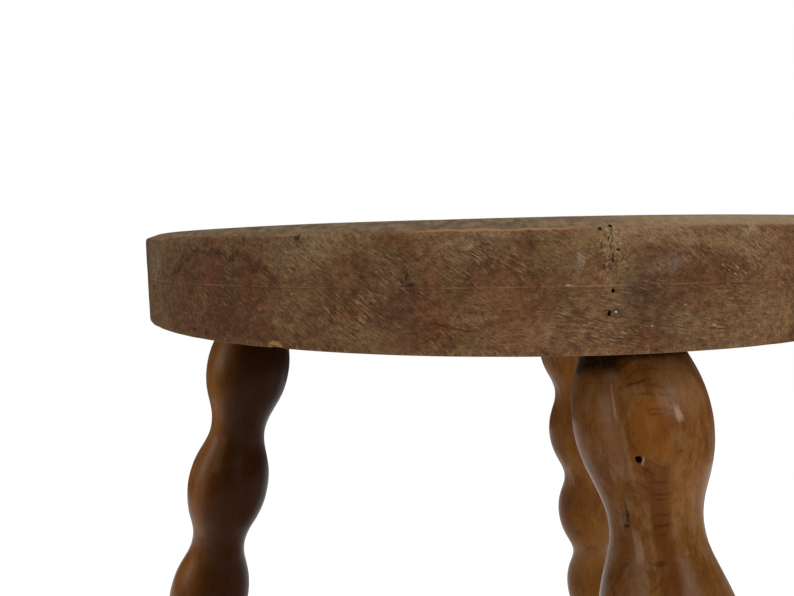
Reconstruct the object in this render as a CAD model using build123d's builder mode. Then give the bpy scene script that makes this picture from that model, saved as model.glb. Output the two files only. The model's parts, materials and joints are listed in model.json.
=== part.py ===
from build123d import *

import os
from math import cos, radians, sin

# Milking stool: a thick round seat on three turned, splayed legs.
#
# The legs are staked: each leg's tenon goes right through the seat and is spread
# there by a wedge. Millimetres, +Z up. The origin is the centre of the seat's top
# face, and the front leg points towards -Y. Bearings are degrees from -Y towards +X.

# Overall
STOOL_HEIGHT = 300.0

# Seat
SEAT_DIAMETER = 280.0
SEAT_THICKNESS = 31.0
BEVEL_WIDTH = 4.5
BEVEL_HEIGHT = 2.8
BEVEL_ROUND = 1.5
UNDERSIDE_ROUND = 0.8
SCRIBE_WIDTH = 0.9
SCRIBE_DEPTH = 0.4
GRAIN_BEARING = -17.0

# Legs: a run of equal bobbins. The handles shape the curve from a bobbin's widest
# point to the neck, as shares of half a bobbin's length.
BOBBIN_LENGTH = 62.0
BOBBIN_DIAMETER = 39.6
NECK_DIAMETER = 26.4
BULGE_HANDLE = 0.50
NECK_HANDLE = 0.36
FOOT_CHAMFER = 0.8

# Tenons and wedges
TENON_DIAMETER = 23.0
TENON_ROOT = 8.0
WEDGE_LENGTH = 25.0
WEDGE_TOP = 4.0
WEDGE_TIP = 1.0

# Each leg was set by hand, so each has its own place. Bearing; distance of its axis
# from the seat's centre, at the underside; splay from upright; and the distance
# along the axis from the underside to the first bobbin's widest point.
LEGS = {
    "front": {"bearing": 0.0, "radius": 94.0, "splay": 12.6, "first_bulge": 29.5},
    "left": {"bearing": -120.0, "radius": 106.5, "splay": 12.6, "first_bulge": 35.0},
    "right": {"bearing": 120.0, "radius": 101.0, "splay": 14.8, "first_bulge": 39.0},
}

# Worked out from the above
SEAT_RADIUS = SEAT_DIAMETER / 2
MID_RIM = -SEAT_THICKNESS / 2
TOP_PLANE = Plane.XY
UNDERSIDE_PLANE = Plane.XY.offset(-SEAT_THICKNESS)
FLOOR_PLANE = Plane.XY.offset(-STOOL_HEIGHT)
LEG_REACH = 1.2 * STOOL_HEIGHT
TENON_REACH = 2 * SEAT_THICKNESS


def outward(bearing):
    """Level direction that points from the seat's centre along a bearing."""
    return Vector(sin(radians(bearing)), -cos(radians(bearing)), 0)


def leg_plane(leg):
    """Plane through the leg's axis: y runs up the axis, x is square to it.

    Its origin is where the axis meets the seat's underside.
    """
    out = outward(leg["bearing"])
    up = Vector(0, 0, 1)
    tilt = radians(leg["splay"])
    along = up * cos(tilt) - out * sin(tilt)
    across = out * cos(tilt) + up * sin(tilt)
    foot_point = out * leg["radius"] - up * SEAT_THICKNESS
    return Plane(origin=foot_point, x_dir=across, z_dir=across.cross(along))


def tenon_plane(leg):
    """Plane square to the leg's axis: z runs up the axis, y lies across the seat's grain."""
    side = leg_plane(leg)
    along = side.y_dir
    grain = outward(GRAIN_BEARING)
    grain_in_plane = grain - along * grain.dot(along)
    return Plane(origin=side.origin, x_dir=grain_in_plane, z_dir=along)


def bobbin_curves(first_bulge):
    """Outline of the bobbins, from above the underside to below the floor."""
    bulge = BOBBIN_DIAMETER / 2
    neck = NECK_DIAMETER / 2
    half = BOBBIN_LENGTH / 2
    start = -first_bulge + 2 * half
    count = int(LEG_REACH / half)
    for index in range(count):
        high = start - index * half
        low = high - half
        from_bulge = index % 2 == 0
        radius_high = bulge if from_bulge else neck
        radius_low = neck if from_bulge else bulge
        handle_high = BULGE_HANDLE if from_bulge else NECK_HANDLE
        handle_low = NECK_HANDLE if from_bulge else BULGE_HANDLE
        Bezier(
            (radius_high, high),
            (radius_high, high - handle_high * half),
            (radius_low, low + handle_low * half),
            (radius_low, low),
        )
    end = start - count * half
    end_radius = bulge if count % 2 == 0 else neck
    Polyline((end_radius, end), (0, end), (0, start), (bulge, start))


def make_seat():
    with BuildPart() as seat:
        with BuildSketch(Plane.XZ):
            with BuildLine():
                Polyline(
                    (0, 0),
                    (SEAT_RADIUS - BEVEL_WIDTH, 0),
                    (SEAT_RADIUS, -BEVEL_HEIGHT),
                    (SEAT_RADIUS, MID_RIM + SCRIBE_WIDTH / 2),
                    (SEAT_RADIUS - SCRIBE_DEPTH, MID_RIM),
                    (SEAT_RADIUS, MID_RIM - SCRIBE_WIDTH / 2),
                    (SEAT_RADIUS, -SEAT_THICKNESS),
                    (0, -SEAT_THICKNESS),
                    close=True,
                )
            profile = make_face()
            rim_corners = profile.vertices().group_by(Axis.X)[-1].sort_by(Axis.Z)
            fillet(rim_corners[-1], BEVEL_ROUND)
            fillet(rim_corners[0], UNDERSIDE_ROUND)
        revolve(axis=Axis.Z)
        for leg in LEGS.values():
            with BuildSketch(tenon_plane(leg)):
                Circle(TENON_DIAMETER / 2)
            extrude(amount=TENON_REACH, both=True, mode=Mode.SUBTRACT)
    return seat


def wedge_plane(leg):
    """Plane along the wedge's width: x is its thickness, y runs up the leg's axis."""
    square = tenon_plane(leg)
    return Plane(origin=square.origin, x_dir=square.x_dir, z_dir=-square.y_dir)


def wedge_outline(leg):
    """Outline of the wedge's taper, carried on past the seat's top face."""
    top = SEAT_THICKNESS / cos(radians(leg["splay"]))
    tip = top - WEDGE_LENGTH
    past = TENON_DIAMETER / 2
    growth = (WEDGE_TOP - WEDGE_TIP) / WEDGE_LENGTH
    half_end = (WEDGE_TOP + growth * past) / 2
    Polygon(
        (-WEDGE_TIP / 2, tip),
        (WEDGE_TIP / 2, tip),
        (half_end, top + past),
        (-half_end, top + past),
        align=None,
    )


def make_leg(leg):
    side = leg_plane(leg)
    with BuildPart() as made:
        with BuildSketch(side):
            with BuildLine():
                bobbin_curves(leg["first_bulge"])
            make_face()
        revolve(axis=Axis(side.origin, side.y_dir))
        # The shoulder is pared to lie flat on the underside.
        split(bisect_by=UNDERSIDE_PLANE, keep=Keep.BOTTOM)
        with BuildSketch(tenon_plane(leg).offset(-TENON_ROOT)):
            Circle(TENON_DIAMETER / 2)
        extrude(amount=TENON_ROOT + TENON_REACH)
        split(bisect_by=TOP_PLANE, keep=Keep.BOTTOM)
        split(bisect_by=FLOOR_PLANE, keep=Keep.TOP)
        with BuildSketch(wedge_plane(leg)):
            wedge_outline(leg)
        extrude(amount=TENON_DIAMETER, both=True, mode=Mode.SUBTRACT)
        foot_edge = made.faces().sort_by(Axis.Z)[0].edges()
        chamfer(foot_edge, FOOT_CHAMFER)
    return made


def make_wedge(leg):
    with BuildPart() as made:
        with BuildSketch(tenon_plane(leg)):
            Circle(TENON_DIAMETER / 2)
        extrude(amount=TENON_REACH)
        with BuildSketch(wedge_plane(leg)):
            wedge_outline(leg)
        extrude(amount=TENON_DIAMETER, both=True, mode=Mode.INTERSECT)
        split(bisect_by=TOP_PLANE, keep=Keep.BOTTOM)
    return made


os.makedirs("parts", exist_ok=True)

seat = make_seat()
seat.part.label = "seat"
export_step(seat.part, "parts/seat.step")

for place, leg in LEGS.items():
    turned_leg = make_leg(leg)
    turned_leg.part.label = f"leg_{place}"
    export_step(turned_leg.part, f"parts/leg_{place}.step")

    wedge = make_wedge(leg)
    wedge.part.label = f"wedge_{place}"
    export_step(wedge.part, f"parts/wedge_{place}.step")
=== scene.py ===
"""Looks of the milking stool: worn seat, turned and waxed legs, studio stage and camera.

Lengths are metres unless a name ends in _MM or _mm. Bearings are degrees round the
seat's upright axis, from -Y towards +X.
"""

import json
from math import cos, pi, radians, sin

import bpy
import numpy as np
from mathutils import Matrix, Vector


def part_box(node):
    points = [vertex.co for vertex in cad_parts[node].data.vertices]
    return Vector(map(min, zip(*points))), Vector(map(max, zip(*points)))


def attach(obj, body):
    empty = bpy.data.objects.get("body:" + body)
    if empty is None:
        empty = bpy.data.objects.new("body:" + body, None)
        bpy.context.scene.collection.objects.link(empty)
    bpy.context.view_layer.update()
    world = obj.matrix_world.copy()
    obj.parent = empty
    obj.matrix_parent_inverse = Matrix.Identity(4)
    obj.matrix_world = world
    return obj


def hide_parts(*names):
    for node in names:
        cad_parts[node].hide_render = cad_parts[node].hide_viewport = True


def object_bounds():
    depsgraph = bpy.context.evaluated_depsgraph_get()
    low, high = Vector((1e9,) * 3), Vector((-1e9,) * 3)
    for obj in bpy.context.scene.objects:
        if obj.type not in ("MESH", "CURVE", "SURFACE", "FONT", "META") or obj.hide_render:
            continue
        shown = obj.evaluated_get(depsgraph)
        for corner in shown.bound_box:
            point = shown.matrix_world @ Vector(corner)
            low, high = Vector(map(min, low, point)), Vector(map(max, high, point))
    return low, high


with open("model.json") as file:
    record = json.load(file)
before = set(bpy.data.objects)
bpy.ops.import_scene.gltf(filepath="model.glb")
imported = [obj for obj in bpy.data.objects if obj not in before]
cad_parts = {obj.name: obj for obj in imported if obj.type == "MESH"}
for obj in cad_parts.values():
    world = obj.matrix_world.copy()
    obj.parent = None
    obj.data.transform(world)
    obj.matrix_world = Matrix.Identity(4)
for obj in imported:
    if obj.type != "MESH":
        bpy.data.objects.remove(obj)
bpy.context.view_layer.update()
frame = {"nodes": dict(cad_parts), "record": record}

MM = 0.001
SEED = 11

# The CAD model's sizes, read from the frame
seat_low, seat_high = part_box("seat")
SEAT_RADIUS = (seat_high.x - seat_low.x) / 2
SEAT_THICKNESS = seat_high.z - seat_low.z
FLOOR_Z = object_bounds()[0][2]
UNDERSIDE_Z = seat_low.z
MID_RIM_Z = (seat_high.z + seat_low.z) / 2
MOUNTS = {mount["name"]: mount for mount in frame["record"]["mounts"]}

# Seat edge: the bevel is the CAD model's
BEVEL_WIDTH = 4.5 * MM
BEVEL_HEIGHT = 2.8 * MM
# How far wear has rounded the bevel's upper edge, its lower edge and the rim's lower edge
BEVEL_WEAR = 1.0 * MM
ARRIS_WEAR = 1.2 * MM
HEM_WEAR = 0.25 * MM
# Round this bearing the bevel is lower by this share, fading out over this spread
LOW_BEVEL_BEARING = -98.0
LOW_BEVEL_SPREAD = 50.0
LOW_BEVEL_CUT = 0.5
# Line scribed round the middle of the rim, worn finer than in the CAD model
SCRIBE_WIDTH = 0.7 * MM
SCRIBE_DEPTH = 0.22 * MM

# Tenons, which stop a little short of the seat's top, and feet
TENON_RADIUS = 11.5 * MM
TENON_GAP = 0.12 * MM
TENON_SUNK = 0.15 * MM
FOOT_CHAMFER = 0.8 * MM

# Camera: it looks at the rim from nearly level with it, a little to the left of the axis
CAMERA_BEARING = -28.9
CAMERA_DISTANCE = 1.910 * SEAT_RADIUS
CAMERA_RISE = 0.068 * SEAT_RADIUS
CAMERA_PAN = 8.09
CAMERA_TILT = 5.16
CAMERA_ROLL = -1.12
LENS_MM = 26.0
SENSOR_MM = 36.0

# Studio: how brightly the room's walls light the stool, and the floor's disc
ROOM_GLOW = 0.13
FLOOR_RADIUS = 0.6
FLOOR_GAP = 0.1 * MM

# Soft lights: name, bearing, distance, height, size, power in watts
LIGHTS = [
    ("front_light", 8, 0.6, 0.17, 0.25, 2.3),
    ("left_light", -97, 1.5, 0.15, 0.6, 8.4),
    ("top_light", 151, 0.35, 2.6, 2.0, 90),
]


# ---------------- geometry helpers

def outward(bearing):
    """Level unit vector from the seat's axis along a bearing."""
    return Vector((sin(radians(bearing)), -cos(radians(bearing)), 0))


def ripple(points, wavelength, seed, waves=14):
    """Smooth random field from -1 to 1, the same on every run: a sum of plane waves."""
    rng = np.random.default_rng(SEED + seed)
    total = np.zeros(points.shape[:-1])
    for _ in range(waves):
        direction = rng.normal(size=3)
        direction /= np.linalg.norm(direction)
        length = wavelength * rng.uniform(0.7, 1.6)
        phase = rng.uniform(0, 2 * pi)
        total += np.sin(points @ direction * (2 * pi / length) + phase)
    return total / np.sqrt(waves)


def smooth_step(low, high, value):
    t = np.clip((value - low) / (high - low), 0, 1)
    return t * t * (3 - 2 * t)


def grid_mesh(name, rings, first_pole, last_pole):
    """Closed mesh from rings of points (row, column, xyz), with a fan at each end."""
    rows, columns = rings.shape[:2]
    points = [tuple(first_pole), *map(tuple, rings.reshape(-1, 3)), tuple(last_pole)]
    last = rows * columns + 1
    faces = []
    for column in range(columns):
        after = (column + 1) % columns
        faces.append((0, 1 + after, 1 + column))
        base = 1 + (rows - 1) * columns
        faces.append((last, base + column, base + after))
        for row in range(rows - 1):
            here = 1 + row * columns
            below = here + columns
            faces.append((here + column, here + after, below + after, below + column))
    mesh = bpy.data.meshes.new(name)
    mesh.from_pydata(points, [], faces)
    mesh.update()
    return mesh


def add_object(name, mesh):
    made = bpy.data.objects.new(name, mesh)
    bpy.context.scene.collection.objects.link(made)
    return made


def cut_away(target, cutter):
    """Takes the cutter's volume out of the target's mesh, for good."""
    cut = target.modifiers.new("cut", "BOOLEAN")
    cut.operation = "DIFFERENCE"
    cut.solver = "EXACT"
    cut.object = cutter
    bpy.context.view_layer.update()
    graph = bpy.context.evaluated_depsgraph_get()
    result = bpy.data.meshes.new_from_object(target.evaluated_get(graph))
    target.modifiers.clear()
    old = target.data
    target.data = result
    result.name = old.name
    bpy.data.meshes.remove(old)


def smooth_with_sharp_edges(piece, sharp_above=35):
    piece.data.shade_smooth()
    piece.data.set_sharp_from_angle(angle=radians(sharp_above))


# ---------------- legs

class LegAxis:
    """A leg's place, read from its CAD node: the axis runs from the foot's middle up
    through the middle of the tenon's end."""

    def __init__(self, place):
        self.node = frame["nodes"][f"leg_{place}"]
        co = np.array([v.co for v in self.node.data.vertices])
        top = co[co[:, 2] > co[:, 2].max() - 0.01 * MM]
        top_middle = Vector((top.min(0) + top.max(0)) / 2)
        foot = Vector(MOUNTS[f"foot_{place}"]["pos_m"])
        self.up = (top_middle - foot).normalized()
        drop = (top_middle.z - UNDERSIDE_Z) / self.up.z
        self.origin = top_middle - self.up * drop
        out = Vector((foot.x, foot.y, 0)).normalized()
        self.out = (out - self.up * out.dot(self.up)).normalized()
        self.side = self.up.cross(self.out)
        self.lean = self.out.z / self.up.z
        self.matrix = Matrix(
            (
                (self.out.x, self.side.x, self.up.x, self.origin.x),
                (self.out.y, self.side.y, self.up.y, self.origin.y),
                (self.out.z, self.side.z, self.up.z, self.origin.z),
                (0, 0, 0, 1),
            )
        )
        self.radius_at = self.read_outline(co)

    def read_outline(self, co):
        """The turned outline: radius against height along the axis."""
        local = co - np.array(self.origin)
        along = local @ np.array(self.up)
        off_axis = np.linalg.norm(local - np.outer(along, np.array(self.up)), axis=1)
        turned = (co[:, 2] < UNDERSIDE_Z - 1 * MM) & (co[:, 2] > FLOOR_Z + 2 * MM)
        step = 0.5 * MM
        heights = np.arange(along[turned].min(), along[turned].max(), step)
        order = np.argsort(along[turned])
        radii = np.interp(heights, along[turned][order], off_axis[turned][order])
        # The CAD mesh has one ring of points per few millimetres, so this smooths them.
        reach = 4
        weights = np.hanning(2 * reach + 1)
        padded = np.pad(radii, reach, mode="edge")
        radii = np.convolve(padded, weights / weights.sum(), mode="valid")
        return lambda height: np.interp(height, heights, radii)


def leg_ends(axis, turns):
    """Heights along the axis where the turned part meets the seat and the floor."""
    drop = (UNDERSIDE_Z - FLOOR_Z) / axis.up.z
    tilt = np.cos(turns) * axis.lean
    top = 0 * tilt
    bottom = top - drop
    # The radius changes with the height, so each pass comes closer.
    for _ in range(4):
        top = -axis.radius_at(top) * tilt
        bottom = -drop - axis.radius_at(bottom) * tilt
    return top, bottom


def leg_grid(axis, marks):
    """Turns round the leg and shares of its height, closer together at each mark."""
    turns = [np.radians(np.arange(0, 360, 2.5))]
    shares = [np.linspace(0, 1, 300)]
    near = np.linspace(-0.8, 0.8, 13)
    for turn, height_mm, size_mm, _ in marks:
        reach = near * size_mm * MM
        top, bottom = leg_ends(axis, radians(turn))
        turns.append(radians(turn) + reach / axis.radius_at(height_mm * MM))
        shares.append((height_mm * MM + reach - top) / (bottom - top))
    turns = np.mod(np.concatenate(turns), 2 * pi)
    shares = np.concatenate(shares)
    return np.unique(np.round(turns, 3)), np.unique(np.round(shares, 4))


def make_leg(place):
    axis = LegAxis(place)
    seed = list(LEG_MARKS).index(place)
    turns, shares = leg_grid(axis, LEG_MARKS[place])
    tilt = np.cos(turns) * axis.lean
    top, bottom = leg_ends(axis, turns)
    height = top + (bottom - top) * shares[:, None]
    radius = axis.radius_at(height)

    # Hand-turned: a little oval and uneven, with the marks sunk into it
    spots = np.stack([radius * np.cos(turns), radius * np.sin(turns), height], -1)
    radius = radius * (1 + 0.006 * np.cos(2 * turns + seed))
    radius = radius + 0.10 * MM * ripple(spots, 45 * MM, 20 + seed)
    radius = radius + 0.03 * MM * ripple(spots, 9 * MM, 30 + seed)
    for turn, height_mm, size_mm, depth_mm in LEG_MARKS[place]:
        around = (np.mod(turns - radians(turn) + pi, 2 * pi) - pi) * radius
        away = np.hypot(around, height - height_mm * MM) / (size_mm / 2 * MM)
        radius = radius - depth_mm * MM * (1 - smooth_step(0.8, 1.1, away))

    # The turned part ends flat on the underside and, with an eased edge, on the floor
    drop = (UNDERSIDE_Z - FLOOR_Z) / axis.up.z
    height[0] = -radius[0] * tilt
    foot_radius = radius[-1:] - FOOT_CHAMFER
    foot_height = -drop - foot_radius * tilt
    height[-1] = FOOT_CHAMFER - drop - radius[-1] * tilt

    # Tenon, with an eased end
    tenon_top = (SEAT_THICKNESS - TENON_SUNK) / axis.up.z
    tenon_radii = TENON_RADIUS - np.array([0.35, 0, 0, 0, 0, 0])[:, None] * MM + 0 * tilt
    tenon_shares = np.array([1.0, 0.97, 0.75, 0.5, 0.25, 0])[:, None]
    tenon_heights = tenon_top * tenon_shares - tenon_radii * tilt

    heights = np.concatenate([tenon_heights, height, foot_height])
    radii = np.concatenate([tenon_radii, radius, foot_radius])
    rings = np.stack([radii * np.cos(turns), radii * np.sin(turns), heights], -1)
    name = f"turned_leg_{place}"
    mesh = grid_mesh(name, rings[::-1], (0, 0, -drop), (0, 0, tenon_top))
    mesh.transform(axis.matrix)
    leg = add_object(name, mesh)
    cut_away(leg, frame["nodes"][f"wedge_{place}"])
    smooth_with_sharp_edges(leg)
    for face in leg.data.polygons:
        face.use_smooth = abs(face.normal.z) < 0.999
    return leg, axis


# Holes and dents in each leg: turn round the axis from its outward side, height along
# the axis from the underside, width and depth, in degrees and millimetres.
LEG_MARKS = {
    "front": [
        (-47.8, -38.3, 1.9, 4.0),
        (-72.4, -54.6, 1.4, 0.4),
        (-76.0, -57.8, 1.4, 0.4),
    ],
    "left": [],
    "right": [],
}


# ---------------- seat

def rounded(before, corner, after, reach):
    """Points that round a corner of an outline, starting and ending reach away from it."""
    start = corner + (before - corner) * reach / np.linalg.norm(before - corner)
    end = corner + (after - corner) * reach / np.linalg.norm(after - corner)
    t = np.linspace(0, 1, 7)[:, None]
    return start * (1 - t) ** 2 + corner * 2 * t * (1 - t) + end * t**2


def seat_outline():
    """Radius and height of each ring, from near the middle of the top to the underside."""
    middle = np.array([0, 0])
    shoulder = np.array([SEAT_RADIUS - BEVEL_WIDTH, 0])
    arris = np.array([SEAT_RADIUS, -BEVEL_HEIGHT])
    foot = np.array([SEAT_RADIUS, UNDERSIDE_Z])
    centre = np.array([0, UNDERSIDE_Z])
    spread = 1 - (1 - np.linspace(0.03, 1, 21)[:, None]) ** 1.4

    rim = [np.arange(-BEVEL_HEIGHT - ARRIS_WEAR, UNDERSIDE_Z, -0.4 * MM)]
    rim.append(MID_RIM_Z + np.linspace(-0.6, 0.6, 7) * SCRIBE_WIDTH)
    for _, z_mm, _, half_height_mm, _ in SEAT_PITS:
        rim.append((z_mm + PIT_GRID * half_height_mm) * MM)
    rim = np.unique(np.round(np.concatenate(rim), 4))[::-1]
    rim = rim[(rim < -BEVEL_HEIGHT - 1.05 * ARRIS_WEAR) & (rim > UNDERSIDE_Z + 1.5 * HEM_WEAR)]

    top = rounded(middle, shoulder, arris, BEVEL_WEAR)
    edge = rounded(shoulder, arris, foot, ARRIS_WEAR)
    hem = rounded(arris, foot, centre, HEM_WEAR)
    bevel = top[-1] + (edge[0] - top[-1]) * np.linspace(0, 1, 9)[1:-1, None]
    side = np.stack([SEAT_RADIUS + 0 * rim, rim], -1)
    upper = middle + (top[0] - middle) * spread[:-1]
    under = centre + (hem[-1] - centre) * spread[:-1]
    return np.concatenate([upper, top, bevel, edge, side, hem, under[::-1]])


def make_seat(axes):
    outline = seat_outline()
    bearings = [np.arange(-180, 180, 1.0)]
    for bearing, _, half_width_mm, _, _ in SEAT_PITS:
        reach = np.degrees(half_width_mm * MM / SEAT_RADIUS)
        bearings.append(bearing + PIT_GRID * reach)
    turns = np.radians(np.unique(np.round(np.concatenate(bearings), 2)))
    radius = np.repeat(outline[:, :1], len(turns), axis=1)
    height = np.repeat(outline[:, 1:], len(turns), axis=1)
    # The bevel is lower round the left side; the rim stretches to meet it.
    from_low = np.abs(np.degrees(turns) - LOW_BEVEL_BEARING)
    bevel_share = 1 - LOW_BEVEL_CUT * (1 - smooth_step(0, LOW_BEVEL_SPREAD, from_low))
    below = (height - UNDERSIDE_Z) / (-BEVEL_HEIGHT - UNDERSIDE_Z)
    stretched = UNDERSIDE_Z + below * (-BEVEL_HEIGHT * bevel_share - UNDERSIDE_Z)
    height = np.where(height > -BEVEL_HEIGHT, height * bevel_share, stretched)

    spots = np.stack([radius * np.sin(turns), -radius * np.cos(turns), height], -1)
    on_rim = smooth_step(SEAT_RADIUS - 2 * BEVEL_WIDTH, SEAT_RADIUS - BEVEL_WIDTH / 2, radius)
    on_top = smooth_step(UNDERSIDE_Z, -1.5 * BEVEL_HEIGHT, height) * (1 - on_rim)
    groove = 1 - smooth_step(0, SCRIBE_WIDTH / 2, np.abs(height - MID_RIM_Z))
    groove = groove * on_rim * smooth_step(-0.6, 0.6, ripple(spots, 40 * MM, 3))
    radius = radius - SCRIBE_DEPTH * groove
    radius = radius + on_rim * 0.18 * MM * (ripple(spots, 70 * MM, 4) - 0.6)
    radius = radius + on_rim * 0.05 * MM * ripple(spots, 9 * MM, 5)
    height = height + 0.12 * MM * on_top * (ripple(spots, 60 * MM, 6) - 1)
    height = height + 0.03 * MM * on_top * ripple(spots, 8 * MM, 7)
    arris = np.exp(-((spots[..., 2] + BEVEL_HEIGHT * bevel_share) / (1.2 * MM)) ** 2) * on_rim
    radius = radius - arris * 0.12 * MM * (1 + ripple(spots, 14 * MM, 8))
    hem = np.exp(-((spots[..., 2] - UNDERSIDE_Z) / (0.7 * MM)) ** 2) * on_rim
    radius = radius - hem * 0.06 * MM * (1 + ripple(spots, 7 * MM, 9))

    ragged = 1 + 0.22 * ripple(spots, 1.3 * MM, 10)
    for bearing, z_mm, half_width_mm, half_height_mm, depth_mm in SEAT_PITS:
        along = (turns - radians(bearing)) * SEAT_RADIUS / (half_width_mm * MM)
        away = np.hypot(along, (height - z_mm * MM) / (half_height_mm * MM)) * ragged
        radius = radius - on_rim * depth_mm * MM * (1 - smooth_step(0.7, 1.1, away))
    radius = np.minimum(radius, SEAT_RADIUS)
    height = np.clip(height, UNDERSIDE_Z, 0)

    rings = np.stack([radius * np.sin(turns), -radius * np.cos(turns), height], -1)
    mesh = grid_mesh("worn_seat", rings[::-1], (0, 0, UNDERSIDE_Z), (0, 0, height[0].mean()))
    seat = add_object("worn_seat", mesh)
    for axis in axes:
        mortise = mortise_cutter(axis)
        cut_away(seat, mortise)
        bpy.data.objects.remove(mortise)
    smooth_with_sharp_edges(seat)
    return seat


def mortise_cutter(axis):
    turns = np.linspace(0, 2 * pi, 96, endpoint=False)
    radius = TENON_RADIUS + TENON_GAP
    heights = np.array([1.5, -0.5]) * SEAT_THICKNESS
    rings = np.array([[(radius * cos(t), radius * sin(t), h) for t in turns] for h in heights])
    mesh = grid_mesh("mortise", rings[::-1], (0, 0, heights[1]), (0, 0, heights[0]))
    cutter = add_object("mortise", mesh)
    cutter.matrix_world = axis.matrix
    return cutter


# Pits, worm holes and chips in the rim: bearing, height, half width, half height, depth.
SEAT_PITS = [
    (-16.8, -16.7, 0.38, 0.45, 2.5),
    (-17.1, -21.5, 0.36, 0.70, 2.5),
    (-17.0, -2.6, 0.45, 0.35, 0.8),
    (-18.0, -3.1, 0.35, 0.40, 0.8),
    (-16.4, -7.7, 0.45, 0.28, 0.7),
    (-17.3, -5.2, 0.35, 0.60, 0.35),
    (-16.9, -9.6, 0.30, 0.70, 0.45),
    (-17.7, -11.2, 0.30, 0.55, 0.35),
    (-50.2, -31.0, 1.9, 0.9, 1.1),
]
# Where the mesh has points round a pit, in half widths from its middle
PIT_GRID = np.array([-2.8, -1.5, -1.1, -0.8, -0.4, 0, 0.4, 0.8, 1.1, 1.5, 2.8])


# ---------------- materials

def srgb(red, green, blue):
    """Linear colour of an sRGB one given from 0 to 255."""
    def linear(value):
        share = value / 255
        return share / 12.92 if share <= 0.04045 else ((share + 0.055) / 1.055) ** 2.4
    return (linear(red), linear(green), linear(blue))


class Recipe:
    """Short words for building a node material. Its coordinates are millimetres."""

    def __init__(self, name):
        self.material = bpy.data.materials.new(name)
        self.material.use_nodes = True
        self.tree = self.material.node_tree
        self.tree.nodes.clear()
        metres = self.add("ShaderNodeTexCoord").outputs["Object"]
        self.place = self.scaled(metres, 1 / MM, 1 / MM, 1 / MM)

    def add(self, kind, **settings):
        node = self.tree.nodes.new(kind)
        for key, value in settings.items():
            setattr(node, key, value)
        return node

    def feed(self, socket, value):
        if isinstance(value, bpy.types.NodeSocket):
            self.tree.links.new(value, socket)
        elif socket.type == "RGBA":
            socket.default_value = (*value, 1)
        else:
            socket.default_value = value

    def math(self, operation, *values, clamp=False):
        node = self.add("ShaderNodeMath", operation=operation, use_clamp=clamp)
        for socket, value in zip(node.inputs, values):
            self.feed(socket, value)
        return node.outputs[0]

    def vector(self, operation, *values):
        node = self.add("ShaderNodeVectorMath", operation=operation)
        for socket, value in zip(node.inputs, values):
            self.feed(socket, value)
        return node.outputs["Value" if operation in ("LENGTH", "DOT_PRODUCT") else "Vector"]

    def plus(self, a, b):
        return self.math("ADD", a, b)

    def times(self, a, b):
        return self.math("MULTIPLY", a, b)

    def scaled(self, vector, x, y, z, shift=(0, 0, 0)):
        return self.vector("MULTIPLY_ADD", vector, (x, y, z), shift)

    def join(self, x, y, z=0.0):
        node = self.add("ShaderNodeCombineXYZ")
        for socket, value in zip(node.inputs, (x, y, z)):
            self.feed(socket, value)
        return node.outputs[0]

    def split(self, vector):
        node = self.add("ShaderNodeSeparateXYZ")
        self.feed(node.inputs[0], vector)
        return node.outputs[0], node.outputs[1], node.outputs[2]

    def noise(self, vector, detail=2.0, roughness=0.5, distortion=0.0, output="Fac"):
        """Noise with one feature to a unit of the vector."""
        node = self.add("ShaderNodeTexNoise")
        self.feed(node.inputs["Vector"], vector)
        node.inputs["Scale"].default_value = 1.0
        node.inputs["Detail"].default_value = detail
        node.inputs["Roughness"].default_value = roughness
        node.inputs["Distortion"].default_value = distortion
        return node.outputs[output]

    def fade(self, value, start, end, to=1.0):
        """0 at start, and the value of to at end, smooth between; start may be the larger."""
        node = self.add("ShaderNodeMapRange", interpolation_type="SMOOTHSTEP")
        ends = (start, end, 0.0, to) if start < end else (end, start, to, 0.0)
        for socket, number in zip(("From Min", "From Max", "To Min", "To Max"), ends):
            node.inputs[socket].default_value = number
        self.feed(node.inputs["Value"], value)
        return node.outputs["Result"]

    def band(self, value, middle, half_width):
        """1 at the middle, 0 at half_width from it."""
        away = self.math("ABSOLUTE", self.plus(value, -middle))
        return self.fade(away, half_width, 0.0)

    def mix(self, factor, first, second, blend="MIX"):
        node = self.add("ShaderNodeMix", data_type="RGBA", blend_type=blend)
        factor_socket, a, b = (node.inputs[i] for i in (0, 6, 7))
        self.feed(factor_socket, factor)
        self.feed(a, first)
        self.feed(b, second)
        return node.outputs[2]

    def shade(self, color, amount, low, high):
        """Multiplies the colour by a grey from low to high as amount goes from 0 to 1."""
        grey = self.fade(amount, 0.25, 0.75, to=high - low)
        return self.scale_color(color, self.plus(grey, low))

    def scale_color(self, color, level):
        node = self.add("ShaderNodeVectorMath", operation="SCALE")
        self.feed(node.inputs[0], color)
        self.feed(node.inputs["Scale"], level)
        return node.outputs[0]

    def finish(self, color, roughness, bump_mm, **shader_values):
        shader = self.add("ShaderNodeBsdfPrincipled")
        self.feed(shader.inputs["Base Color"], color)
        self.feed(shader.inputs["Roughness"], roughness)
        for socket, value in shader_values.items():
            self.feed(shader.inputs[socket.replace("_", " ")], value)
        bump = self.add("ShaderNodeBump")
        bump.inputs["Distance"].default_value = MM
        self.feed(bump.inputs["Height"], bump_mm)
        self.feed(shader.inputs["Normal"], bump.outputs["Normal"])
        output = self.add("ShaderNodeOutputMaterial")
        self.feed(output.inputs["Surface"], shader.outputs[0])
        return self.material


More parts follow.
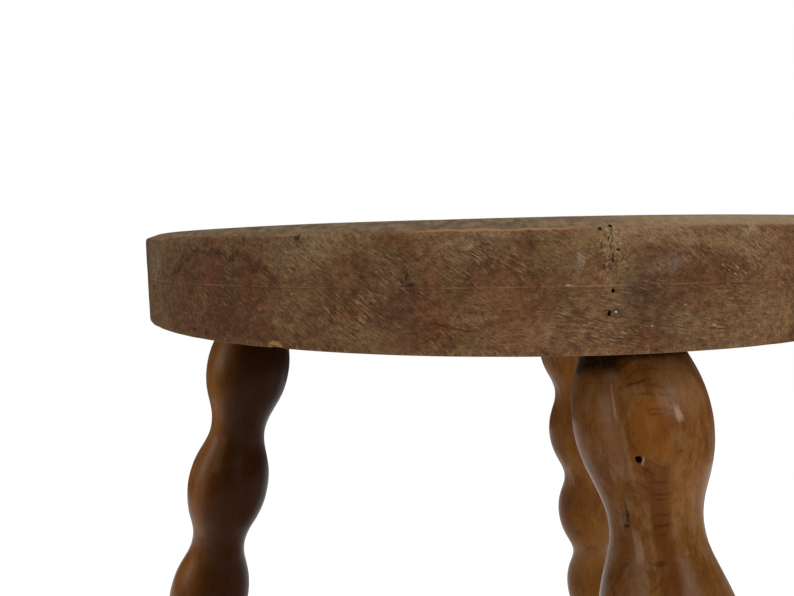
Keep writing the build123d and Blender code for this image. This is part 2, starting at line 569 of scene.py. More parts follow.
# Stains on the rim, and one painted sheen: bearing, height, half width, half height, colour,
# strength.
STAINS_AND_SHEEN = [
    (-59.5, -21.0, 27.0, 14.5, srgb(88, 54, 36), 0.45),
    # Painted sheen: a grey patch of reflected light on the left of the rim
    (-77.5, -9.0, 13.0, 6.5, srgb(125, 112, 96), 0.65),
    (-80.0, -22.0, 12.0, 8.0, srgb(98, 76, 54), 0.5),
    (-72.2, -12.3, 6.0, 4.5, srgb(64, 46, 38), 0.55),
    (-66.0, -10.5, 4.0, 4.5, srgb(76, 48, 34), 0.5),
    (-60.2, -11.0, 5.0, 6.0, srgb(98, 58, 42), 0.5),
    (-61.0, -23.0, 8.0, 8.0, srgb(98, 54, 36), 0.55),
    (-53.2, -10.3, 4.0, 4.0, srgb(98, 54, 38), 0.55),
    (-53.4, -21.0, 4.5, 8.0, srgb(96, 56, 40), 0.5),
    (-57.0, -20.0, 3.4, 10.0, srgb(66, 46, 26), 0.6),
    (-47.0, -6.2, 11.0, 4.5, srgb(124, 104, 80), 0.6),
    (-46.5, -22.0, 9.0, 6.0, srgb(104, 72, 52), 0.35),
    (-42.0, -10.0, 4.0, 5.5, srgb(118, 82, 60), 0.45),
    (-40.0, -27.0, 8.0, 3.5, srgb(108, 82, 58), 0.45),
    (-37.0, -12.0, 6.0, 4.5, srgb(70, 50, 44), 0.55),
    (-36.3, -22.5, 6.5, 4.5, srgb(78, 56, 50), 0.55),
    (-33.0, -12.0, 2.8, 6.0, srgb(104, 62, 42), 0.6),
    (-33.4, -22.5, 4.0, 4.5, srgb(96, 58, 36), 0.5),
    (-29.5, -6.5, 8.0, 3.5, srgb(126, 106, 82), 0.5),
    (-26.8, -12.8, 5.0, 3.5, srgb(82, 56, 38), 0.5),
    (-25.7, -21.5, 6.5, 9.0, srgb(106, 62, 36), 0.5),
    (-22.0, -13.5, 9.0, 3.0, srgb(78, 52, 34), 0.55),
    (-21.5, -20.5, 6.0, 4.0, srgb(78, 52, 36), 0.45),
    (-15.6, -15.0, 3.0, 9.0, srgb(102, 88, 62), 0.5),
    (-14.0, -16.0, 5.0, 4.5, srgb(64, 50, 42), 0.7),
    (-11.2, -10.6, 4.4, 2.6, srgb(100, 88, 80), 0.45),
    (-11.1, -21.8, 3.6, 3.6, srgb(60, 48, 42), 0.6),
    (-13.5, -23.0, 6.0, 3.0, srgb(84, 62, 44), 0.3),
    (-13.0, -4.6, 15.0, 3.2, srgb(132, 106, 80), 0.65),
    (-12.5, -8.2, 9.0, 1.8, srgb(84, 58, 38), 0.5),
    (-10.2, -27.5, 5.0, 4.5, srgb(112, 92, 68), 0.5),
    (-6.0, -19.0, 8.0, 6.0, srgb(86, 58, 36), 0.5),
    (-4.6, -12.0, 5.0, 3.5, srgb(82, 56, 36), 0.5),
    (-2.0, -7.5, 7.0, 4.5, srgb(124, 98, 70), 0.45),
    (4.2, -10.0, 1.2, 12.0, srgb(72, 48, 34), 0.5),
    (1.5, -24.0, 8.0, 5.0, srgb(112, 88, 62), 0.45),
    (24.0, -12.0, 16.0, 9.0, srgb(84, 58, 40), 0.5),
    (48.0, -20.0, 22.0, 7.0, srgb(118, 96, 70), 0.5),
    (75.0, -10.0, 18.0, 8.0, srgb(96, 54, 36), 0.5),
    (110.0, -18.0, 24.0, 10.0, srgb(74, 52, 38), 0.5),
    (150.0, -9.0, 20.0, 6.0, srgb(122, 102, 78), 0.5),
    (-160.0, -21.0, 22.0, 7.0, srgb(92, 54, 38), 0.5),
    (-122.0, -12.0, 26.0, 9.0, srgb(84, 60, 44), 0.5),
    (-98.0, -20.0, 14.0, 8.0, srgb(100, 60, 42), 0.45),
]

# Small marks with sharp edges: the same columns.
SPECKS = [
    (-47.0, -3.4, 0.9, 0.7, srgb(34, 24, 18), 0.8),
    (-43.6, -2.3, 1.3, 0.5, srgb(34, 26, 20), 0.8),
    (-64.2, -28.5, 0.8, 0.6, srgb(52, 30, 14), 0.8),
    (-61.5, -29.2, 0.8, 0.6, srgb(56, 34, 16), 0.8),
    (-47.8, -17.3, 0.25, 0.25, srgb(180, 160, 132), 0.6),
    (-50.2, -30.4, 2.2, 1.1, srgb(158, 122, 76), 0.85),
    (-35.5, -13.0, 0.26, 1.4, srgb(36, 26, 24), 0.8),
    (-35.1, -14.9, 1.1, 0.28, srgb(36, 26, 24), 0.8),
    (-36.0, -14.2, 0.6, 0.22, srgb(46, 34, 30), 0.7),
    (-20.8, -15.2, 0.8, 0.2, srgb(176, 152, 126), 0.7),
    (-16.6, -21.3, 0.30, 0.30, srgb(205, 196, 182), 0.9),
    (-13.0, -24.8, 0.26, 0.22, srgb(184, 168, 146), 0.65),
    (-9.7, -20.1, 0.22, 0.24, srgb(180, 162, 138), 0.65),
    (-6.6, -25.2, 0.45, 0.3, srgb(160, 134, 104), 0.6),
]

# Dusty scuffs, broken up by the grain: the same columns.
SCUFFS = [
    (-61.5, -21.8, 0.8, 1.8, srgb(112, 92, 70), 0.6),
    (-66.0, -18.6, 1.0, 2.4, srgb(108, 88, 66), 0.6),
    (-50.0, -24.6, 0.8, 1.2, srgb(132, 112, 88), 0.6),
    (-31.7, -6.1, 1.0, 0.6, srgb(150, 130, 106), 0.7),
    (-30.1, -6.8, 1.5, 0.9, srgb(150, 132, 112), 0.7),
    (-27.3, -4.0, 3.0, 0.9, srgb(146, 124, 98), 0.55),
    (-20.1, -9.6, 0.9, 2.6, srgb(146, 132, 118), 0.65),
    (-22.6, -26.5, 0.5, 2.4, srgb(140, 116, 90), 0.6),
    (-21.6, -28.4, 1.0, 1.0, srgb(140, 118, 96), 0.55),
    (-2.8, -4.3, 2.0, 1.0, srgb(148, 134, 118), 0.6),
    (-44.0, -5.0, 5.0, 3.0, srgb(140, 120, 92), 0.5),
    (-29.0, -3.8, 9.0, 1.6, srgb(140, 116, 88), 0.5),
    (-14.0, -3.8, 12.0, 2.0, srgb(146, 120, 92), 0.5),
    (-11.4, -10.6, 2.4, 1.3, srgb(126, 112, 100), 0.4),
    (-6.0, -6.0, 9.0, 2.6, srgb(140, 116, 86), 0.5),
    (-27.0, -18.0, 6.0, 4.0, srgb(130, 98, 68), 0.4),
    (-24.0, -26.0, 9.0, 3.0, srgb(134, 106, 76), 0.45),
    (-40.0, -27.0, 10.0, 3.0, srgb(126, 100, 72), 0.4),
]

# Strokes, such as a crack: bearing and height of both ends, half width, colour, strength.
STROKES = [
    (-33.3, -23.2, -31.6, -24.4, 0.45, srgb(70, 36, 12), 0.85),
    (-31.6, -24.4, -29.4, -25.3, 0.30, srgb(84, 44, 14), 0.85),
    (-16.9, -1.5, -17.2, -12.5, 0.30, srgb(50, 34, 24), 0.55),
    (-24.0, -17.0, -22.9, -13.6, 0.35, srgb(58, 38, 24), 0.5),
]

# Groups of rasp scratches: bearing, height, half width, half height.
SCRATCHED = [
    (-28.3, -9.3, 4.0, 3.0),
    (-28.4, -20.5, 6.0, 4.5),
    (-39.6, -17.6, 5.5, 4.0),
    (-41.0, -24.0, 9.0, 4.5),
    (-8.8, -7.9, 4.0, 3.0),
    (-2.0, -8.4, 5.0, 5.0),
    (-4.0, -13.6, 6.0, 4.0),
    (-18.0, -26.0, 10.0, 3.5),
    (-26.0, -27.0, 9.0, 2.5),
    (-46.0, -8.0, 8.0, 5.0),
    (60.0, -14.0, 20.0, 8.0),
    (170.0, -18.0, 20.0, 8.0),
    (-110.0, -16.0, 20.0, 8.0),
]

# All the stains, and the painted sheen among them, are this share of their listed strength.
STAIN_AND_SHEEN_DEPTH = 0.62

# Warms the rim's colours: the share of red, green and blue that they keep
RIM_TINT = (1.0, 0.97, 0.88)

# The rasp's strokes slant down to the right, this far from level: steep and shallow ones.
RASP_SLANTS = (36.0, 12.0)

# The seat's grain runs this way, and comes out of the rim there.
GRAIN_BEARING = -17.0


def rim_position(bearing, height_mm):
    return (radians(bearing) * SEAT_RADIUS / MM, height_mm)


def spot_distance(wood, at, bearing, height, half_width, half_height):
    """0 in the middle of an ellipse on the rim and 1 on its edge. The coordinates of at are
    millimetres round the rim and up it."""
    u, v = rim_position(bearing, height)
    shift = (-u / half_width, -v / half_height, 0)
    return wood.vector("LENGTH", wood.scaled(at, 1 / half_width, 1 / half_height, 0, shift))


def spot_mask(wood, at, bearing, height, half_width, half_height, soft, strength):
    """Soft ellipse on the rim."""
    away = spot_distance(wood, at, bearing, height, half_width, half_height)
    return wood.fade(away, 1 + soft, 1 - soft, to=strength)


def shaken(wood, at, noise, reach):
    """The coordinates of at, pushed about by a coloured noise, up to half of reach."""
    push = wood.scaled(noise, reach, reach, 0.0, (-reach / 2, -reach / 2, 0.0))
    return wood.vector("ADD", at, push)


def stroke_mask(wood, at, start, end, half_width, strength):
    """Line from start to end, fading out beyond them, in the coordinates of at."""
    run = Vector(end) - Vector(start)
    length = run.length
    along = run / length
    across = Vector((-along.y, along.x))
    middle = (Vector(start) + Vector(end)) / 2
    offset = wood.vector("SUBTRACT", at, (middle.x, middle.y, 0))
    far_along = wood.vector("DOT_PRODUCT", offset, (along.x, along.y, 0))
    far_across = wood.vector("DOT_PRODUCT", offset, (across.x, across.y, 0))
    line = wood.fade(wood.math("ABSOLUTE", far_across), half_width, 0.4 * half_width)
    fading = min(0.3 * length, 2.0)
    far_along = wood.math("ABSOLUTE", far_along)
    ends = wood.fade(far_along, length / 2 + fading, length / 2 - fading, to=strength)
    return wood.times(line, ends)


def rasp_strokes(wood, at, shallow, length, width, offset):
    """Noise drawn out along the rasp's strokes, of about this length and width."""
    layers = []
    for slant in RASP_SLANTS:
        slant = radians(slant)
        along = wood.vector("DOT_PRODUCT", at, (cos(slant) / length, -sin(slant) / length, 0))
        across = wood.vector("DOT_PRODUCT", at, (sin(slant) / width, cos(slant) / width, 0))
        layers.append(wood.noise(wood.join(along, across, offset), 2.0, 0.55))
    steep, level = layers
    return wood.plus(steep, wood.times(shallow, wood.math("SUBTRACT", level, steep)))


def seat_material():
    wood = Recipe("seat_wood")
    x, y, height = wood.split(wood.place)
    turn = wood.math("ARCTAN2", x, wood.times(y, -1.0))
    around = wood.times(turn, SEAT_RADIUS / MM)
    reach = wood.vector("LENGTH", wood.join(x, y))
    at = wood.join(around, height)
    wander = wood.noise(wood.scaled(wood.place, 0.16, 0.16, 0.16), 3.0, 0.6, output="Color")
    jitter = wood.noise(wood.scaled(wood.place, 0.9, 0.9, 0.9), 2.0, 0.6, output="Color")
    at_loose = shaken(wood, at, wander, 9.0)
    at_tight = shaken(wood, at, jitter, 1.4)

    # Ground colour: patches of red-brown, olive and grey-brown that run into each other
    patch = wood.noise(wood.scaled(wood.place, 0.055, 0.055, 0.075), 3.0, 0.55, 0.6)
    hue = wood.noise(wood.scaled(wood.place, 0.08, 0.08, 0.10, (7, 3, 1)), 3.0, 0.6, 0.5)
    blotch = wood.noise(wood.scaled(wood.place, 0.25, 0.25, 0.3, (2, 9, 4)), 4.0, 0.65)
    color = wood.mix(wood.fade(patch, 0.36, 0.64), srgb(88, 59, 38), srgb(108, 80, 56))
    color = wood.mix(wood.fade(hue, 0.50, 0.68, to=0.5), color, srgb(102, 64, 42))
    color = wood.mix(wood.fade(hue, 0.46, 0.30, to=0.6), color, srgb(104, 84, 58))
    color = wood.shade(color, blotch, 0.79, 1.19)
    for *place, patch_color, strength in STAINS_AND_SHEEN:
        mask = spot_mask(wood, at_loose, *place, 0.6, strength * STAIN_AND_SHEEN_DEPTH)
        color = wood.mix(mask, color, patch_color)

    # Tide mark round the first stain, the biggest
    from_middle = spot_distance(wood, at_loose, *STAINS_AND_SHEEN[0][:4])
    tide = wood.times(wood.band(from_middle, 1.0, 0.11), wood.fade(height, -18.0, -12.0, to=0.75))
    color = wood.mix(tide, color, srgb(56, 38, 24))

    # Fibres run level round the rim; pores and dust make it speckled
    fibre = wood.noise(wood.scaled(wood.place, 0.12, 0.12, 2.4), 3.0, 0.6)
    color = wood.shade(color, fibre, 0.90, 1.10)
    speckle = wood.noise(wood.scaled(wood.place, 1.7, 1.7, 2.1), 4.0, 0.8)
    color = wood.shade(color, speckle, 0.62, 1.30)
    mottle = wood.noise(wood.scaled(wood.place, 0.55, 0.55, 0.75), 3.0, 0.7)
    color = wood.shade(color, mottle, 0.60, 1.36)

    # Rasp scratches, pale and dark: steep in general, shallow low down right of the middle
    shallow = spot_mask(wood, at_loose, -13.0, -22.0, 38.0, 8.0, 0.4, 1.0)
    pale = rasp_strokes(wood, at, shallow, 2.8, 0.40, 0.0)
    dark = rasp_strokes(wood, at, shallow, 3.2, 0.45, 8.0)
    hatch = rasp_strokes(wood, at, shallow, 1.2, 0.34, 4.0)
    fuzz = wood.noise(wood.scaled(wood.place, 0.11, 0.11, 0.14), 2.0)
    where = wood.plus(wood.fade(fuzz, 0.40, 0.60, to=0.45), 0.14)
    for group in SCRATCHED:
        where = wood.math("MAXIMUM", where, spot_mask(wood, at_loose, *group, 0.6, 1.0))
    # Behind, where the measure round the rim starts again, the scratches fade out.
    seam = wood.fade(wood.math("ABSOLUTE", turn), pi, pi - 0.12)
    where = wood.times(where, wood.times(seam, wood.fade(height, -1.5, -4.0)))
    scored = wood.shade(color, hatch, 0.80, 1.20)
    color = wood.mix(wood.plus(wood.times(where, 0.75), 0.2), color, scored)
    pale_scratch = wood.times(wood.fade(pale, 0.54, 0.68), where)
    dark_scratch = wood.times(wood.fade(dark, 0.54, 0.68), where)
    color = wood.mix(wood.times(pale_scratch, 0.9), color, srgb(152, 122, 94))
    color = wood.mix(wood.times(dark_scratch, 0.85), color, srgb(50, 32, 20))

    # Scribed line: pale in places, with a painted shadow along its lower side
    line = wood.band(height, MID_RIM_Z / MM, 0.24)
    broken = wood.noise(wood.scaled(wood.place, 0.07, 0.07, 0.0), 2.0)
    pale_line = wood.plus(wood.fade(broken, 0.46, 0.58, to=0.42), 0.05)
    color = wood.mix(wood.times(line, pale_line), color, srgb(146, 114, 88))
    groove_shadow = wood.band(height, MID_RIM_Z / MM - 0.35, 0.3)
    color = wood.mix(wood.times(groove_shadow, 0.2), color, srgb(56, 36, 22))

    # End grain, cracked and pitted, where the grain comes out of the rim
    end_grain = spot_mask(wood, at_loose, GRAIN_BEARING, -6.5, 3.2, 6.5, 0.4, 1.0)
    crumbs = wood.noise(wood.scaled(wood.place, 1.6, 1.6, 1.1), 2.0, 0.6, 0.8)
    bright_crumbs = wood.times(end_grain, wood.fade(crumbs, 0.50, 0.62, to=0.6))
    color = wood.mix(bright_crumbs, color, srgb(158, 130, 100))
    dark_crumbs = wood.times(end_grain, wood.fade(crumbs, 0.42, 0.32, to=0.75))
    color = wood.mix(dark_crumbs, color, srgb(52, 36, 24))

    for *place, patch_color, strength in SPECKS:
        color = wood.mix(spot_mask(wood, at_tight, *place, 0.35, strength), color, patch_color)
    dusty = wood.plus(wood.times(wood.fade(hatch, 0.45, 0.62), 0.75), 0.25)
    for *place, patch_color, strength in SCUFFS:
        mask = spot_mask(wood, at_loose, *place, 0.6, strength)
        color = wood.mix(wood.times(mask, dusty), color, patch_color)
    for b0, z0, b1, z1, half_width, patch_color, strength in STROKES:
        ends = (rim_position(b0, z0), rim_position(b1, z1))
        mask = stroke_mask(wood, at_tight, *ends, half_width, strength)
        color = wood.mix(mask, color, patch_color)

    # Lower edge: rubbed and crumbled
    hem = wood.times(wood.fade(height, -28.6, -30.6), wood.fade(crumbs, 0.50, 0.66, to=0.5))
    color = wood.mix(hem, color, srgb(140, 112, 80))

    color = wood.vector("MULTIPLY", color, RIM_TINT)

    # Bevel: grey-olive dirt above a worn arris, with a painted highlight along the arris
    turned_away = wood.times(wood.plus(turn, -radians(LOW_BEVEL_BEARING)), 180 / pi)
    low_bevel = wood.times(wood.band(turned_away, 0.0, LOW_BEVEL_SPREAD), LOW_BEVEL_CUT)
    edge = wood.math("DIVIDE", height, wood.math("SUBTRACT", 1.0, low_bevel))
    edge = wood.plus(edge, wood.times(wood.plus(blotch, -0.5), 1.2))
    dirt_tone = wood.noise(wood.scaled(wood.place, 0.35, 0.35, 0.9), 4.0, 0.7)
    dirt = wood.mix(wood.fade(dirt_tone, 0.35, 0.65), srgb(76, 61, 44), srgb(104, 86, 63))
    # The bevel is paler round the right side
    paler_bevel_right = spot_mask(wood, at_loose, 12.0, -1.0, 64.0, 9.0, 0.35, 0.6)
    dirt = wood.mix(paler_bevel_right, dirt, srgb(126, 104, 80))
    dirt = wood.shade(dirt, speckle, 0.8, 1.2)
    color = wood.mix(wood.fade(edge, -3.0, -2.3), color, dirt)
    # Painted highlight along the arris, strongest round one span
    arris_highlight = wood.band(edge, -2.8, 0.42)
    arris_highlight_span = spot_mask(wood, at, -27.0, -2.7, 18.0, 9.0, 0.45, 0.65)
    arris_highlight_span = wood.math("MAXIMUM", arris_highlight_span, wood.fade(broken, 0.54, 0.66, to=0.3))
    color = wood.mix(wood.times(arris_highlight, arris_highlight_span), color, srgb(150, 112, 74))

    # Top and underside: long grain, grimy on top, paler and dusty below
    lie = radians(GRAIN_BEARING)
    with_grain = wood.vector("DOT_PRODUCT", wood.place, (sin(lie), -cos(lie), 0))
    cross_grain = wood.vector("DOT_PRODUCT", wood.place, (cos(lie), sin(lie), 0))
    lengthwise = wood.join(with_grain, cross_grain)
    bow = wood.times(wood.noise(wood.scaled(wood.place, 0.009, 0.009, 0.0), 1.0), 24.0)
    bowed = wood.join(with_grain, wood.plus(cross_grain, bow))
    rings = wood.noise(wood.scaled(bowed, 0.006, 0.16, 0.0), 3.0, 0.6)
    hair = wood.noise(wood.scaled(lengthwise, 0.05, 1.6, 0.0), 3.0, 0.65)
    face = wood.mix(wood.fade(rings, 0.36, 0.64), srgb(92, 70, 49), srgb(110, 88, 63))
    face = wood.mix(wood.fade(hue, 0.5, 0.7, to=0.5), face, srgb(98, 68, 46))
    face = wood.shade(face, hair, 0.74, 1.20)
    face = wood.shade(face, blotch, 0.80, 1.15)
    face = wood.shade(face, speckle, 0.85, 1.12)
    knocks = wood.noise(wood.scaled(wood.place, 0.6, 0.045, 0.0, (3, 5, 2)), 2.0, 0.6)
    face = wood.mix(wood.fade(knocks, 0.66, 0.76, to=0.5), face, srgb(52, 38, 26))
    scores = wood.noise(wood.scaled(wood.place, 0.05, 0.7, 0.0, (8, 1, 6)), 2.0, 0.6)
    face = wood.mix(wood.fade(scores, 0.66, 0.76, to=0.4), face, srgb(146, 122, 92))
    rubbed = wood.fade(reach, 112.0, 134.0, to=0.55)
    top = wood.mix(rubbed, face, dirt)
    color = wood.mix(wood.fade(reach, 136.6, 134.6), color, top)
    below = wood.mix(0.35, face, srgb(132, 106, 78))
    color = wood.mix(wood.fade(height, -30.75, -30.95), color, below)

    rough = wood.plus(wood.fade(blotch, 0.3, 0.7, to=0.16), 0.66)
    relief = wood.plus(wood.times(speckle, 0.16), wood.times(fibre, 0.12))
    relief = wood.plus(relief, wood.times(pale_scratch, 0.08))
    relief = wood.plus(relief, wood.times(dark_scratch, -0.12))
    relief = wood.plus(relief, wood.times(wood.times(hair, 0.14), wood.fade(reach, 136.6, 134.6)))
    relief = wood.plus(relief, wood.times(wood.times(crumbs, 0.5), end_grain))
    return wood.finish(color, rough, relief, Specular_IOR_Level=0.06)


# Per leg: what its old wax does to red, green and blue; as turns round the leg's own axis
# from its outward side, where the pith lies and which side is turned from the light and gets
# painted shade; how dark the painted shade is there; and how strong the scuffs and pores are.
LEG_FINISH = {
    "front": {
        "tint": (0.96, 0.96, 0.92),
        "pith_turn": 146,
        "shade_turn": 200,
        "shade_depth": 0.2,
        "wear": 1.0,
    },
    "left": {
        "tint": (1.0, 0.96, 0.78),
        "pith_turn": 40,
        "shade_turn": 144,
        "shade_depth": 0.88,
        "wear": 0.35,
    },
    "right": {
        "tint": (1.0, 0.96, 0.80),
        "pith_turn": 200,
        "shade_turn": 20,
        "shade_depth": 0.2,
        "wear": 0.35,
    },
}

# Marks on the legs, with painted highlights, sheen and shadow among them: turn and height of
# both ends, half width, colour, strength. Turns are degrees round the leg's axis from its outward
# side.
LEG_STROKES = {
    "front": [
        (-71.5, -52.0, -73.5, -57.6, 0.85, srgb(40, 31, 24), 0.9),
        (-73.0, -57.6, -82.0, -58.8, 0.75, srgb(44, 34, 26), 0.85),
        (-62.5, -17.5, -60.5, -26.5, 0.45, srgb(168, 138, 112), 0.6),
        (-56.5, -28.0, -55.0, -46.0, 0.90, srgb(134, 104, 74), 0.35),
        (-64.0, -13.0, -66.0, -44.0, 3.20, srgb(124, 90, 66), 0.45),
        # Painted sheen low on the leg
        (-66.0, -60.0, -63.0, -68.0, 2.20, srgb(146, 118, 98), 0.5),
        (-61.0, -70.0, -60.0, -82.0, 2.40, srgb(130, 100, 80), 0.35),
        # Painted highlight
        (-13.5, -24.6, -11.0, -28.4, 1.30, srgb(178, 146, 120), 0.55),
        (-33.0, -22.0, -34.0, -38.0, 6.00, srgb(116, 66, 22), 0.5),
        (-35.0, -40.0, -34.0, -90.0, 4.80, srgb(84, 43, 10), 0.7),
        (-44.0, -37.6, -45.0, -39.8, 0.50, srgb(168, 140, 112), 0.55),
        (-14.0, -13.0, 12.0, -26.0, 7.00, srgb(134, 98, 66), 0.45),
        (28.0, -32.0, 34.0, -84.0, 5.00, srgb(130, 96, 66), 0.35),
        (-51.0, -18.2, -31.0, -16.8, 0.50, srgb(60, 34, 14), 0.7),
        (-42.0, -20.6, -31.0, -20.6, 0.45, srgb(72, 42, 18), 0.6),
        (-25.0, -20.8, -15.0, -21.7, 0.45, srgb(72, 42, 18), 0.6),
        (-36.0, -24.9, -24.0, -24.8, 0.40, srgb(76, 40, 12), 0.6),
        (-35.0, -26.1, -24.0, -26.1, 0.40, srgb(76, 40, 12), 0.6),
        (-46.8, -40.4, -38.0, -42.4, 0.50, srgb(62, 34, 12), 0.7),
        (-41.0, -44.8, -27.0, -44.6, 0.45, srgb(66, 32, 8), 0.6),
        (-41.0, -48.4, -26.0, -48.4, 0.40, srgb(60, 28, 6), 0.7),
        (-39.0, -49.8, -26.0, -49.8, 0.40, srgb(60, 28, 6), 0.7),
        (-41.0, -54.4, -27.0, -54.2, 0.50, srgb(60, 28, 6), 0.6),
        (-42.0, -57.4, -26.0, -57.2, 0.60, srgb(58, 28, 6), 0.65),
        (-41.0, -60.0, -31.0, -59.7, 0.60, srgb(62, 30, 8), 0.5),
        (-50.0, -67.6, -36.0, -67.0, 0.70, srgb(58, 28, 8), 0.55),
        # Painted shadow: the seat's shadow on the top of the leg
        (-125.0, -9.0, -54.0, -8.6, 7.60, srgb(15, 8, 3), 0.95),
        (-60.0, -8.4, 40.0, -9.0, 3.60, srgb(24, 12, 5), 0.85),
    ],
    "left": [
        # Painted highlight on a bobbin
        (85.0, -67.0, 88.0, -84.0, 3.20, srgb(160, 124, 96), 0.35),
        # Painted light down the leg's lit side
        (66.0, -14.0, 72.0, -120.0, 5.50, srgb(138, 92, 56), 0.4),
    ],
    "right": [
        # Painted highlights: pale streaks down the leg
        (150.0, -56.0, 152.0, -70.0, 2.40, srgb(150, 112, 82), 0.4),
        (152.0, -108.0, 154.0, -136.0, 2.60, srgb(150, 112, 82), 0.4),
        (166.0, -118.0, 166.0, -134.0, 2.00, srgb(156, 120, 88), 0.35),
    ],
}
# A leg's usual radius, how far the pith lies from its axis, and the growth rings' width
LEG_RADIUS_MM = 18.0
PITH_MM = 70.0
RING_MM = 1.25


def leg_material(place, axis):
    finish = LEG_FINISH[place]
    wear = finish["wear"]
    wood = Recipe(f"leg_wood_{place}")
    # Coordinates in the leg's own frame: x outwards, z up the axis from the underside
    own = wood.vector("SUBTRACT", wood.place, tuple(axis.origin / MM))
    out = wood.vector("DOT_PRODUCT", own, tuple(axis.out))
    side = wood.vector("DOT_PRODUCT", own, tuple(axis.side))
    up = wood.vector("DOT_PRODUCT", own, tuple(axis.up))
    shift = float(list(LEG_FINISH).index(place)) * 37.0
    own = wood.join(wood.plus(out, shift), side, up)

    broad = wood.noise(wood.scaled(own, 0.035, 0.035, 0.018), 3.0, 0.55, 0.4)
    color = wood.mix(wood.fade(broad, 0.36, 0.64), srgb(100, 60, 22), srgb(118, 76, 34))
    cloud = wood.noise(wood.scaled(own, 0.09, 0.09, 0.05), 3.0, 0.6)
    color = wood.mix(wood.fade(cloud, 0.52, 0.70, to=0.5), color, srgb(122, 84, 54))
    color = wood.mix(wood.fade(cloud, 0.46, 0.32, to=0.5), color, srgb(92, 52, 24))

    # Growth rings: cylinders about a pith beside the leg, so they draw ovals on the bobbins
    pith_turn = radians(finish["pith_turn"])
    to_pith = Vector((cos(pith_turn), sin(pith_turn), 0))
    sway = wood.times(wood.noise(wood.scaled(own, 0.04, 0.04, 0.012), 2.0), 5.0)
    across = wood.join(out, side)
    from_pith = wood.vector("LENGTH", wood.vector("SUBTRACT", across, tuple(to_pith * PITH_MM)))
    from_pith = wood.plus(from_pith, sway)
    ring_share = wood.math("FRACT", wood.times(from_pith, 1 / RING_MM))
    late_wood = wood.times(wood.fade(ring_share, 0.55, 0.92), wood.fade(ring_share, 1.0, 0.93))
    ring_mask = wood.noise(wood.scaled(own, 0.16, 0.16, 0.12), 3.0, 0.6)
    late_wood = wood.times(late_wood, wood.fade(ring_mask, 0.40, 0.60, to=0.5))
    facing = wood.vector("DOT_PRODUCT", across, tuple(-to_pith / LEG_RADIUS_MM))
    late_wood = wood.times(late_wood, wood.plus(wood.fade(facing, 0.70, 0.96, to=0.85), 0.15))
    color = wood.mix(late_wood, color, srgb(70, 36, 12))

    # Streaks and pores along the leg
    streak = wood.noise(wood.scaled(own, 0.55, 0.55, 0.018), 4.0, 0.65)
    color = wood.shade(color, streak, 0.86, 1.14)
    pores = wood.noise(wood.scaled(own, 1.7, 1.7, 0.45), 3.0, 0.65)
    color = wood.shade(color, pores, 1 - 0.17 * wear, 1 + 0.14 * wear)
    fleck = wood.noise(wood.scaled(own, 1.3, 1.3, 0.5), 1.0, 0.5)
    color = wood.mix(wood.fade(fleck, 0.64, 0.74, to=0.5), color, srgb(58, 32, 14))
    smear = wood.noise(wood.scaled(own, 0.28, 0.28, 0.14), 4.0, 0.65)
    color = wood.mix(wood.fade(smear, 0.50, 0.66, to=0.5 * wear), color, srgb(124, 92, 68))
    color = wood.mix(wood.fade(smear, 0.48, 0.34, to=0.4 * wear), color, srgb(82, 44, 16))

    # Darker up against the seat
    ragged_up = wood.plus(up, wood.times(wood.plus(smear, -0.5), 8.0))
    darker_near_seat = wood.fade(ragged_up, -9.0, -0.5, to=0.45)
    color = wood.mix(darker_near_seat, color, srgb(52, 30, 14))

    # Scratches, dents, growth lines, pale streaks, painted highlights and sheen, and the seat's
    # painted shadow
    turn = wood.math("ARCTAN2", side, out)
    jitter = wood.noise(wood.scaled(own, 0.8, 0.8, 0.5), 3.0, 0.65, output="Color")
    at = shaken(wood, wood.join(wood.times(turn, LEG_RADIUS_MM), up), jitter, 1.6)
    patchy = wood.plus(wood.fade(pores, 0.36, 0.60, to=0.2), 0.8)
    for t0, z0, t1, z1, half_width, patch_color, strength in LEG_STROKES[place]:
        start = (radians(t0) * LEG_RADIUS_MM, z0)
        end = (radians(t1) * LEG_RADIUS_MM, z1)
        mask = stroke_mask(wood, at, start, end, half_width, strength)
        color = wood.mix(wood.times(mask, patchy), color, patch_color)

    # Old wax's tint, and painted shade on the side turned from the light
    from_shaded_side = wood.plus(turn, -radians(finish["shade_turn"]))
    painted_shade = wood.fade(wood.math("COSINE", from_shaded_side), -0.15, 0.9, to=finish["shade_depth"])
    color = wood.vector("MULTIPLY", color, finish["tint"])
    color = wood.mix(painted_shade, color, srgb(34, 12, 4))

    # End of the tenon, seen in the seat's top
    end_ring = wood.fade(ring_share, 0.3, 0.9)
    end = wood.mix(end_ring, srgb(84, 66, 48), srgb(58, 42, 28))
    end = wood.shade(end, pores, 0.75, 1.15)
    color = wood.mix(wood.fade(up, 24.0, 26.0), color, end)

    rough = wood.plus(wood.fade(cloud, 0.3, 0.7, to=0.10), 0.26)
    rough = wood.plus(rough, wood.fade(streak, 0.5, 0.8, to=0.06))
    relief = wood.plus(wood.times(streak, 0.05), wood.times(pores, 0.03))
    turning = wood.noise(wood.scaled(own, 0.02, 0.02, 0.9), 2.0, 0.5)
    relief = wood.plus(relief, wood.times(turning, 0.06))
    return wood.finish(color, rough, relief, Specular_IOR_Level=0.05)


def wedge_material():
    wood = Recipe("wedge_wood")
    grain = wood.noise(wood.scaled(wood.place, 2.4, 2.4, 0.5), 3.0, 0.65)
    tone = wood.noise(wood.scaled(wood.place, 0.3, 0.3, 0.3), 3.0, 0.6)
    color = wood.mix(wood.fade(tone, 0.35, 0.65), srgb(70, 52, 36), srgb(98, 76, 52))
    color = wood.shade(color, grain, 0.75, 1.2)
    rough = wood.plus(wood.fade(tone, 0.3, 0.7, to=0.15), 0.62)
    return wood.finish(color, rough, wood.times(grain, 0.12), Specular_IOR_Level=0.25)


# ---------------- stage

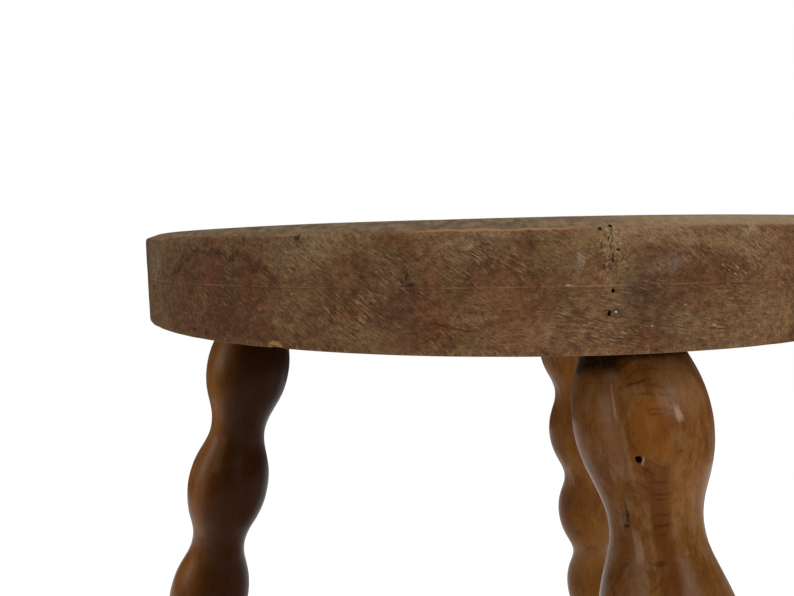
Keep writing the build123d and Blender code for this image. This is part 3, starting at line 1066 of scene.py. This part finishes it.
def add_camera():
    camera_data = bpy.data.cameras.new("camera")
    camera_data.lens = LENS_MM
    camera_data.sensor_width = SENSOR_MM
    camera = bpy.data.objects.new("camera", camera_data)
    bpy.context.scene.collection.objects.link(camera)
    position = outward(CAMERA_BEARING) * CAMERA_DISTANCE
    position.z = MID_RIM_Z + CAMERA_RISE
    inward = -outward(CAMERA_BEARING)
    level_right = Vector((inward.y, -inward.x, 0))
    pan = radians(CAMERA_PAN)
    tilt = radians(CAMERA_TILT)
    roll = radians(CAMERA_ROLL)
    level_forward = inward * cos(pan) - level_right * sin(pan)
    forward = level_forward * cos(tilt) - Vector((0, 0, sin(tilt)))
    right = level_right * cos(pan) + inward * sin(pan)
    up = right.cross(forward)
    rolled_right = right * cos(roll) + up * sin(roll)
    rolled_up = up * cos(roll) - right * sin(roll)
    basis = Matrix((rolled_right, rolled_up, -forward)).transposed().to_4x4()
    camera.matrix_world = Matrix.Translation(position) @ basis
    camera_data.clip_start = 0.01
    bpy.context.scene.camera = camera


def add_area_light(name, bearing, distance, height, size, power):
    light_data = bpy.data.lights.new(name, "AREA")
    light_data.shape = "SQUARE"
    light_data.size = size
    light_data.energy = power
    light = bpy.data.objects.new(name, light_data)
    bpy.context.scene.collection.objects.link(light)
    position = outward(bearing) * distance + Vector((0, 0, height))
    aim = Vector((0, 0, MID_RIM_Z)) - position
    turned = aim.to_track_quat("-Z", "Y").to_matrix().to_4x4()
    light.matrix_world = Matrix.Translation(position) @ turned


def add_stage():
    mesh = bpy.data.meshes.new("floor")
    turns = np.linspace(0, 2 * pi, 128, endpoint=False)
    level = FLOOR_Z - FLOOR_GAP
    edge = [(FLOOR_RADIUS * cos(turn), FLOOR_RADIUS * sin(turn), level) for turn in turns]
    mesh.from_pydata(edge, [], [range(len(edge))])
    floor = add_object("floor", mesh)
    paint = bpy.data.materials.new("floor_paint")
    paint.use_nodes = True
    shader = paint.node_tree.nodes["Principled BSDF"]
    shader.inputs["Base Color"].default_value = (0.95, 0.95, 0.95, 1)
    shader.inputs["Roughness"].default_value = 0.9
    mesh.materials.append(paint)

    # The walls light the stool dimly, but where the camera sees them they look white.
    world = bpy.data.worlds.new("studio")
    world.use_nodes = True
    tree = world.node_tree
    walls = tree.nodes["Background"]
    walls.inputs["Color"].default_value = (1, 1, 1, 1)
    rays = tree.nodes.new("ShaderNodeLightPath")
    seen = tree.nodes.new("ShaderNodeMix")
    seen.inputs["A"].default_value = ROOM_GLOW
    seen.inputs["B"].default_value = 1.0
    tree.links.new(rays.outputs["Is Camera Ray"], seen.inputs["Factor"])
    tree.links.new(seen.outputs["Result"], walls.inputs["Strength"])
    world.cycles.sampling_method = "NONE"
    bpy.context.scene.world = world
    for name, *place, power in LIGHTS:
        add_area_light(name, *place, power)
    bpy.context.scene.view_settings.view_transform = "Standard"


# ---------------- assembly

add_camera()
add_stage()

axes = []
for place in LEG_MARKS:
    leg, axis = make_leg(place)
    axes.append(axis)
    leg.data.materials.clear()
    leg.data.materials.append(leg_material(place, axis))
    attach(leg, "root")
    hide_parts(f"leg_{place}")

seat = make_seat(axes)
seat.data.materials.clear()
seat.data.materials.append(seat_material())
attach(seat, "root")
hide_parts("seat")

wedge_wood = wedge_material()
for place in LEG_MARKS:
    wedge = frame["nodes"][f"wedge_{place}"]
    wedge.data.materials.clear()
    wedge.data.materials.append(wedge_wood)
